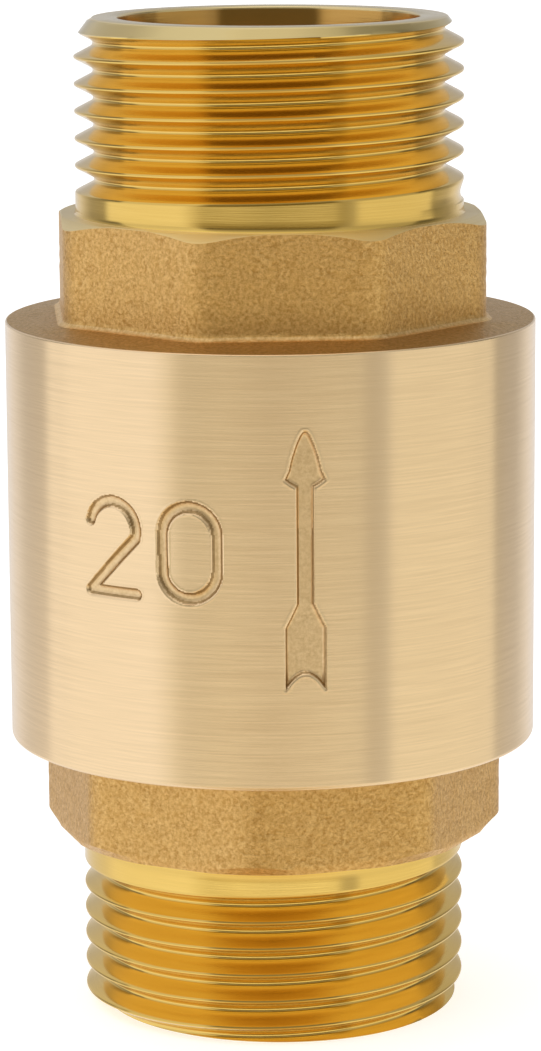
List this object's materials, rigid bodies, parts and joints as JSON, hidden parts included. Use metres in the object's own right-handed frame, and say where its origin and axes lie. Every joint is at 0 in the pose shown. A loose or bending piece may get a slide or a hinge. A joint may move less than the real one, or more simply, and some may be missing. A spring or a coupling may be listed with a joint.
{
  "type": "check valve",
  "caption": "In-line spring check valve with male threads at both ends: a guided poppet lifts with the flow and closes against back flow.",
  "frame": {"origin": "centre of the inlet end face, on the valve's axis", "axes": "+Z along the valve's axis in the direction of flow, from the inlet end to the outlet end; -Y is the side of the body with the flow arrow"},
  "size_m": [0.0358, 0.0358, 0.0675],
  "materials": {
    "machined_brass": "fine turned brass, satin",
    "cast_brass": "sand cast brass with machined threads",
    "stainless_steel": "bright stainless steel",
    "nitrile_rubber": "black moulded nitrile rubber",
    "white_acetal": "white moulded acetal"
  },
  "bodies": {
    "valve": {"valve_body": "machined_brass", "inlet_connector": "cast_brass", "joint_ring": "nitrile_rubber", "outlet_guide": "machined_brass", "outlet_bush": "white_acetal", "return_spring": "stainless_steel", "inlet_guide": "machined_brass", "inlet_bush": "white_acetal", "inlet_circlip": "stainless_steel"},
    "poppet": {"poppet_stem": "stainless_steel", "disc_plate": "machined_brass", "disc_seal": "nitrile_rubber", "seal_retainer": "stainless_steel", "lock_washer": "stainless_steel", "stem_nut": "stainless_steel"}
  },
  "joints": [
    {"name": "poppet_lift", "type": "slide", "parent": "valve", "child": "poppet", "axis": [0, 0, 1], "range_m": [0, 0.006], "stiffness_N_per_m": 155, "springref_m": -0.006, "deforming": ["return_spring"]}
  ]
}
